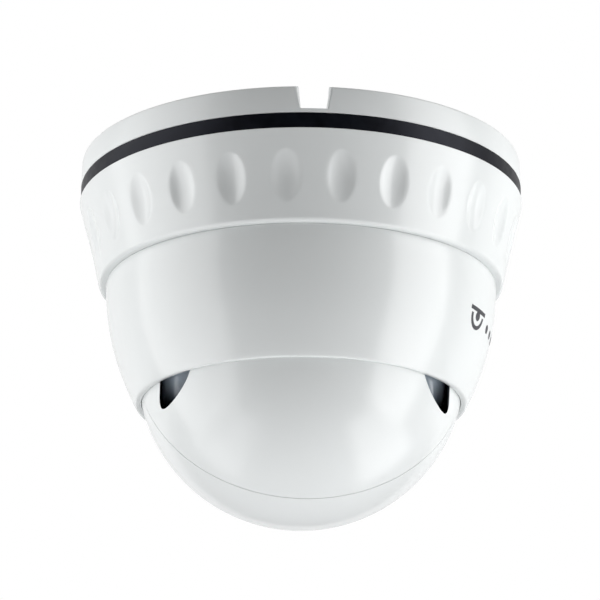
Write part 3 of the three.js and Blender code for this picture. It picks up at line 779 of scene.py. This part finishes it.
def ring_radius(height):
    """The cone's radius at a height: a gentle curve through its top, its middle and its bottom."""
    middle = (RING_TOP + RING_BOTTOM) / 2
    t = (height - middle) / (RING_TOP - middle)
    rise = (RING_RADIUS - RING_BOTTOM_RADIUS) / 2
    hollow = (RING_RADIUS + RING_BOTTOM_RADIUS) / 2 - RING_MIDDLE_RADIUS
    return RING_MIDDLE_RADIUS + rise * t + hollow * t * t


# ---- Turret ----


def shell_point(t):
    """A point on the outside of the shell, from the shoulder at 0 to the rim at 1."""
    top = Vector((SHELL_RADIUS, SHELL_SHOULDER))
    bulge = Vector(SHELL_BULGE)
    rim = Vector((SHELL_RIM_RADIUS, SHELL_RIM))
    return top * (1 - t) ** 2 + bulge * 2 * t * (1 - t) + rim * t * t


def shell_normal(t):
    """The direction square to the shell and away from its axis, at a point of its outline."""
    along = shell_point(t + 0.01) - shell_point(t - 0.01)
    return Vector((-along.y, along.x)).normalized()


def shell_inside(t):
    """The point across the wall from shell_point, moved outwards where it comes too near the eyeball."""
    centre = Vector((0, BALL_CENTRE.z / MM))
    away = shell_point(t) - shell_normal(t) * SHELL_WALL - centre
    return centre + away.normalized() * max(away.length, BALL_RADIUS + BALL_GAP)


def make_shell():
    steps = 40
    outside = [shell_point(k / steps) for k in range(steps)]
    inside = [shell_inside(k / steps) for k in range(2, steps - 1)]
    rim = rounded([
        (*shell_point(0.97), 0), (SHELL_RIM_RADIUS, SHELL_RIM, 0.85),
        (SHELL_RIM_INNER, SHELL_RIM + SHELL_RIM_LIP, 0.3), (*inside[-1], 0),
    ])[1:-1]
    neck = rounded([
        (*inside[0], 0), (NECK_INNER, NECK_FOOT, 0.3), (NECK_INNER, NECK_TOP, 0.3),
        (NECK_OUTER, NECK_TOP, 0.3), (NECK_OUTER, SHELL_SHOULDER, 0.3), (*outside[1], 0),
    ])[1:-1]
    shoulder = rounded([
        (NECK_OUTER, SHELL_SHOULDER, 0), (SHELL_RADIUS, SHELL_SHOULDER, 0.1), (*outside[2], 0),
    ])[1:-1]
    bm = revolved(shoulder + outside[2:-1] + rim + inside[::-1] + neck)
    piece("shell_body", bm, WHITE, "turret", stands_for=["turret_shell"])


def make_arm(side, word):
    """One arm of the yoke, with its tab on the pan plate and its round hub inside the eyeball."""
    hub = rounded([
        (PIVOT_BORE, PIVOT_BOSS_FACE, 0), (PIVOT_BOSS, PIVOT_BOSS_FACE, 0.3),
        (PIVOT_BOSS, HUB_HOLLOW_FLOOR, 0.3), (HUB_HOLLOW, HUB_HOLLOW_FLOOR, 0.3),
        (HUB_HOLLOW, HUB_INNER_FACE, 0.3), (HUB_RADIUS, HUB_INNER_FACE, 0.4),
        (HUB_RADIUS, HUB_OUTER_FACE, 7), (PIVOT_RECESS, HUB_OUTER_FACE, 0.3),
        (PIVOT_RECESS, PIVOT_RECESS_FLOOR, 0), (PIVOT_BORE, PIVOT_RECESS_FLOOR, 0),
    ])
    bm = revolved(hub, MIDDLE_ROUND)
    bm.transform(Matrix.Rotation(math.radians(90 * side), 4, "Y"))
    top = box_mm(f"yoke_arm_{word}")[1][2] - BALL_CENTRE.z / MM
    inner, outer = sorted((side * ARM_INNER, side * ARM_OUTER))
    strip = block((inner, -ARM_HALF_WIDTH, ARM_FOOT), (outer, ARM_HALF_WIDTH, top))
    bm = combined(bm, strip, "UNION")
    under = top - TAB_THICKNESS
    inner, outer = sorted((side * ARM_INNER, side * TAB_END))
    tab = block((inner, -TAB_HALF_WIDTH, under), (outer, TAB_HALF_WIDTH, top))
    bm = combined(bm, tab, "UNION")
    for y in (-TAB_SCREW_OFFSET, TAB_SCREW_OFFSET):
        place = (side * TAB_SCREW_ACROSS, y)
        hole = post(TAB_SCREW_HOLE, under - BEYOND, top + BEYOND, place, THIN_HOLE)
        bm = combined(bm, hole, "DIFFERENCE")
    # The arm's material paints light on its upper part and shade towards its lower end.
    piece(f"arm_body_{word}", bm, PAINTED_SHADE_PLASTIC, "turret", YOKE, [f"yoke_arm_{word}"])


# ---- Eyeball ----


def make_rear_cover():
    half = SEAM / 2
    outside = arc(BALL_RADIUS, half, BALL_RADIUS, 48)
    inside = arc(BALL_INNER, half, BALL_INNER, 40)
    bm = revolved(outside + inside[::-1])
    for side in (-1, 1):
        bm = combined(bm, slot_tool(side), "DIFFERENCE")
    bm = combined(bm, post(GLAND_HOLE, BALL_INNER - 4 * BEYOND, BEYOND_BALL), "DIFFERENCE")
    piece("rear_half", bm, WHITE, "eyeball", EYEBALL, ["rear_cover"])


def slot_tool(side):
    """The cut for one arm: round at one end and open at the other."""
    radius = (SLOT_OUTER - SLOT_INNER) / 2
    middle = side * (SLOT_INNER + radius)
    outline = [(middle - radius, BEYOND_BALL)]
    steps = 32
    for k in range(steps + 1):
        turn = math.radians(180 + 180 * k / steps)
        outline.append((middle + radius * math.cos(turn), SLOT_END + radius * (1 + math.sin(turn))))
    outline.append((middle + radius, BEYOND_BALL))
    return prism(outline, SLOT_FLOOR, BEYOND_BALL)


def make_seam_band():
    outer = box_mm("seam_band")[1][0]
    inner = outer - SEAM_BAND_THICKNESS
    half = SEAM_BAND_HALF
    bm = revolved([(inner, -half), (outer, -half), (outer, half), (inner, half)])
    piece("seam_strip", bm, RUBBER, "eyeball", EYEBALL, ["seam_band"])


# ---- Lens head ----


def make_front_cover():
    """The front of the ball, cut flat at its face, with a seat inside for the window."""
    face_edge = math.sqrt(BALL_RADIUS ** 2 - FACE ** 2)
    outside = arc(BALL_RADIUS, -SEAM / 2, FACE + 0.8, 44)
    brow = rounded([
        (*outside[-2], 0), (face_edge, FACE, 0.6), (FACE_OPENING, FACE, 0.35),
        (FACE_OPENING, SEAT, 0.2), (SEAT_RADIUS, SEAT, 0.1), (SEAT_RADIUS, SEAT_BACK, 0),
    ])[1:]
    inside = arc(BALL_INNER, SEAT_BACK, -SEAM / 2, 40)
    bm = revolved(outside[:-1] + brow + inside)
    piece("front_half", bm, WHITE, "lens_head", EYEBALL, ["front_cover"])


def make_window():
    bm = revolved(rounded([
        (0, WINDOW_FRONT, 0), (WINDOW_RADIUS, WINDOW_FRONT, 0.3),
        (WINDOW_RADIUS, WINDOW_BACK, 0.3), (0, WINDOW_BACK, 0),
    ]), MIDDLE_ROUND)
    piece("window_pane", bm, WINDOW, "lens_head", EYEBALL, ["window_glass"])


def make_window_seal():
    bm = revolved(rounded([
        (FACE_OPENING, SEAL_FRONT, 0.1), (WINDOW_RADIUS, SEAL_FRONT, 0.1),
        (WINDOW_RADIUS, SEAL_BACK, 0.1), (FACE_OPENING, SEAL_BACK, 0.1),
    ]), MIDDLE_ROUND)
    piece("window_seal", bm, RUBBER, "lens_head", EYEBALL, ["window_gasket"])


EMITTER_PLACES = [on_circle(EMITTER_CIRCLE, 360 / EMITTER_COUNT * k) for k in range(EMITTER_COUNT)]
SENSOR_PLACE = on_circle(EMITTER_CIRCLE, 90)


def make_mask():
    """The plate behind the window, with a hole for the lens, each emitter and the light sensor."""
    bm = revolved(rounded([
        (MASK_OPENING, MASK_FRONT, 0.3), (WINDOW_RADIUS, MASK_FRONT, 0.1),
        (WINDOW_RADIUS, MASK_BACK, 0.1), (MASK_OPENING, MASK_BACK, 0.1),
    ]), MIDDLE_ROUND)
    for place in EMITTER_PLACES:
        bm = combined(bm, post(EMITTER_HOLE, MASK_CUT_FRONT, MASK_CUT_BACK, place), "DIFFERENCE")
    sensor_hole = post(SENSOR_HOLE, MASK_CUT_FRONT, MASK_CUT_BACK, SENSOR_PLACE, FINE_HOLE)
    bm = combined(bm, sensor_hole, "DIFFERENCE")

    def on_a_hole(middle):
        """Whether a point lies at the front of the plate, away from its inner and outer rims."""
        in_front = middle.z < (MASK_FRONT + MASK_BACK) / 2
        return in_front and MASK_OPENING + 1 < middle.xy.length < WINDOW_RADIUS - 1

    bevel_edges(bm, on_a_hole, 0.15)
    piece("mask_plate", bm, BLACK, "lens_head", EYEBALL, ["window_mask"])


def make_emitters():
    """Six infrared emitters, each a clear dome in a bright cup."""
    dome = rounded([
        (0, EMITTER_BACK, 0), (EMITTER_RADIUS, EMITTER_BACK, 0), (EMITTER_RADIUS, -27.2, 0),
        (1.9, EMITTER_SHOULDER, 0.8), (0, EMITTER_TIP, 0),
    ])
    cup = [(2.3, CUP_BACK), (2.5, CUP_BACK), (3.3, CUP_RIM), (3.1, CUP_RIM)]
    for k, (x, y) in enumerate(EMITTER_PLACES, 1):
        at = EYEBALL @ Matrix.Translation((x * MM, y * MM, 0))
        dome_mesh = revolved(dome, TINY_ROUND)
        piece(f"emitter_{k}", dome_mesh, EMITTER, "lens_head", at, [f"ir_led_{k}"])
        piece(f"emitter_cup_{k}", revolved(cup, TINY_ROUND), CUP, "lens_head", at)


def make_lens():
    """The barrel, its bore widening towards the front in steps, with a domed glass element in it."""
    outside = [
        (7.3, BARREL_FRONT, 0.15), (BARREL_RADIUS, BARREL_FRONT, 0.3), (BARREL_RADIUS, BARREL_SHOULDER, 0.2),
        (BARREL_TAIL_RADIUS, BARREL_SHOULDER, 0.2), (BARREL_TAIL_RADIUS, BARREL_BACK, 0.2),
    ]
    bore = [
        (BARREL_BORE, BARREL_BACK, 0.2), (BARREL_BORE, -22.2, 0.1), (5.4, -23.4, 0.1),
        (5.6, -24, 0.05), (6.2, -24.2, 0.05), (6.4, -25, 0.05), (6.8, -25.2, 0.05),
        (6.9, -26.2, 0.05), (7.2, -26.4, 0.05),
    ]
    barrel_mesh = revolved(rounded(outside + bore), SMALL_ROUND)
    piece("barrel_body", barrel_mesh, BLACK, "lens_head", EYEBALL, ["lens_barrel"])
    turns = [math.radians(degrees) for degrees in range(8, 90, 8)]
    dome = [
        (ELEMENT_RADIUS * math.sin(a), ELEMENT_FRONT + ELEMENT_DOME * (1 - math.cos(a))) for a in turns
    ]
    element = [(0, ELEMENT_FRONT)] + dome + [(ELEMENT_RADIUS, ELEMENT_BACK), (0, ELEMENT_BACK)]
    element_mesh = revolved(element, SMALL_ROUND)
    piece("front_element", element_mesh, LENS, "lens_head", EYEBALL, ["front_lens"])


# ---- Side emblem ----


def on_shell(across, height):
    """A point just proud of the shell, at a height and across millimetres round from its +X side."""
    drop = SHELL_SHOULDER - SHELL_RIM
    t = (SHELL_SHOULDER - height) / drop
    for _ in range(8):
        t += (shell_point(t).y - height) / drop
    point = shell_point(t) + shell_normal(t) * PRINT_LIFT
    angle = across / point.x
    return Vector((point.x * math.cos(angle), point.x * math.sin(angle), point.y))


def printed_arc(bm, centre, inner, outer, start, end):
    """A stroke of print: part of a flat ring between two angles in degrees."""
    steps = 32
    rows = []
    for k in range(steps + 1):
        angle = math.radians(start + (end - start) * k / steps)
        turn = (math.cos(angle), math.sin(angle))
        rows.append([
            bm.verts.new(on_shell(centre[0] + radius * turn[0], centre[1] + radius * turn[1]))
            for radius in (inner, (inner + outer) / 2, outer)
        ])
    for before, after in zip(rows, rows[1:]):
        for k in range(2):
            bm.faces.new((before[k], after[k], after[k + 1], before[k + 1]))


def printed_bar(bm, left, right, bottom, top):
    """A stroke of print: a flat rectangle."""
    steps = 16
    columns = []
    for k in range(steps + 1):
        across = left + (right - left) * k / steps
        columns.append([bm.verts.new(on_shell(across, height)) for height in (bottom, top)])
    for before, after in zip(columns, columns[1:]):
        bm.faces.new((before[0], after[0], after[1], before[1]))


def make_emblem():
    """A plain pictogram of a dome camera: a bar, a half ring and a dot, with three dots beside it."""
    across = EMBLEM_ACROSS
    height = EMBLEM_HEIGHT
    bm = bmesh.new()
    left = across - EMBLEM_BAR_HALF
    right = across + EMBLEM_BAR_HALF
    printed_bar(bm, left, right, height + EMBLEM_BAR_BOTTOM, height + EMBLEM_BAR_TOP)
    printed_arc(bm, (across, height), EMBLEM_RING_INNER, EMBLEM_RING_OUTER, 180, 360)
    printed_arc(bm, (across, height - EMBLEM_EYE_DROP), PRINT_PINHOLE, EMBLEM_EYE, 0, 360)
    for step in EMBLEM_DOT_PLACES:
        centre = (across + step, height - EMBLEM_DOT_DROP)
        printed_arc(bm, centre, PRINT_PINHOLE, EMBLEM_DOT, 0, 360)
    bmesh.ops.remove_doubles(bm, verts=bm.verts, dist=1e-3)
    bmesh.ops.recalc_face_normals(bm, faces=bm.faces)
    bmesh.ops.solidify(bm, geom=bm.faces[:], thickness=PRINT_THICKNESS)
    piece("side_emblem", bm, PRINT, "turret")


# ---- Light, floor and camera, in metres ----

LAMP_DISTANCE = 0.8
BACK_GLOW = 1.02
# How far a ray's direction leans away from the camera where the glow starts and where it is full.
GLOW_EDGE = 0.1
GLOW_FULL = 0.5
FLOOR_SIZE = 3
FLOOR_HEIGHT = -0.75
CAMERA_PLACE = (-0.054, -0.9358, -0.356)
CAMERA_RISE = 18.697
CAMERA_SIDE_AIM = 0.016


def make_lamp(name, azimuth, rise, target, size, power):
    """A soft panel facing a target, at an azimuth from the camera's side of it and a rise, in degrees."""
    data = bpy.data.lights.new(name, "AREA")
    data.shape = "RECTANGLE"
    data.size, data.size_y = size
    data.energy = power
    lamp = bpy.data.objects.new(name, data)
    turn = math.radians(azimuth)
    lift = math.radians(rise)
    level = math.cos(lift)
    away = Vector((math.sin(turn) * level, -math.cos(turn) * level, math.sin(lift)))
    lamp.location = Vector(target) + away * LAMP_DISTANCE
    lamp.rotation_euler = (-away).to_track_quat("-Z", "Y").to_euler()
    lamp.visible_camera = False
    bpy.context.scene.collection.objects.link(lamp)


def make_studio():
    """Tall panels at both sides, two low ones, and a glow behind the object. The camera sees white."""
    make_lamp("left_panel", -80, 0, (0, 0, 0.25), (0.92, 1.6), 8.1)
    make_lamp("right_panel", 70, 0, (0, 0, 0.25), (0.58, 1.6), 8.6)
    make_lamp("low_left_panel", -90, -50, (0, 0, -0.05), (0.8, 0.6), 1.85)
    make_lamp("low_right_panel", 90, -50, (0, 0, -0.05), (0.8, 0.6), 2.8)
    world = bpy.data.worlds.new("studio")
    bpy.context.scene.world = world
    world.use_nodes = True
    nodes = world.node_tree.nodes
    links = world.node_tree.links
    seen = nodes["Background"]
    seen.inputs["Color"].default_value = (1, 1, 1, 1)
    seen.inputs["Strength"].default_value = 1.0
    place = nodes.new("ShaderNodeTexCoord")
    axes = nodes.new("ShaderNodeSeparateXYZ")
    links.new(place.outputs["Generated"], axes.inputs["Vector"])
    ramp = nodes.new("ShaderNodeMapRange")
    ramp.interpolation_type = "SMOOTHSTEP"
    ramp.inputs["From Min"].default_value = GLOW_EDGE
    ramp.inputs["From Max"].default_value = GLOW_FULL
    ramp.inputs["To Max"].default_value = BACK_GLOW
    links.new(axes.outputs["Y"], ramp.inputs["Value"])
    glow = nodes.new("ShaderNodeBackground")
    links.new(ramp.outputs["Result"], glow.inputs["Strength"])
    mix = nodes.new("ShaderNodeMixShader")
    rays = nodes.new("ShaderNodeLightPath")
    links.new(rays.outputs["Is Camera Ray"], mix.inputs["Fac"])
    links.new(glow.outputs["Background"], mix.inputs[1])
    links.new(seen.outputs["Background"], mix.inputs[2])
    links.new(mix.outputs["Shader"], nodes["World Output"].inputs["Surface"])
    bpy.context.scene.view_settings.view_transform = "Standard"


def make_floor():
    bm = bmesh.new()
    bmesh.ops.create_grid(bm, x_segments=8, y_segments=8, size=FLOOR_SIZE)
    bm.transform(Matrix.Translation((0, 0, FLOOR_HEIGHT)))
    mesh = bpy.data.meshes.new("floor")
    bm.to_mesh(mesh)
    bm.free()
    mesh.materials.append(FLOOR)
    floor = bpy.data.objects.new("floor", mesh)
    bpy.context.scene.collection.objects.link(floor)


def make_camera():
    """A long lens a metre away, behind and below, aimed a little under the base."""
    data = bpy.data.cameras.new("camera")
    data.lens = 217
    data.sensor_width = 36
    data.clip_end = 20
    camera = bpy.data.objects.new("camera", data)
    camera.location = CAMERA_PLACE
    heading = math.atan2(-CAMERA_PLACE[0], -CAMERA_PLACE[1]) - math.radians(CAMERA_SIDE_AIM)
    rise = math.radians(CAMERA_RISE)
    level = math.cos(rise)
    look = Vector((math.sin(heading) * level, math.cos(heading) * level, math.sin(rise)))
    camera.rotation_euler = look.to_track_quat("-Z", "Y").to_euler()
    bpy.context.scene.collection.objects.link(camera)
    bpy.context.scene.camera = camera


make_camera()
paint_frame()
make_base()
make_gasket()
make_grommet()
make_trim_ring()
make_shell()
make_arm(-1, "left")
make_arm(1, "right")
make_rear_cover()
make_seam_band()
make_front_cover()
make_window()
make_window_seal()
make_mask()
make_emitters()
make_lens()
make_emblem()
make_studio()
make_floor()
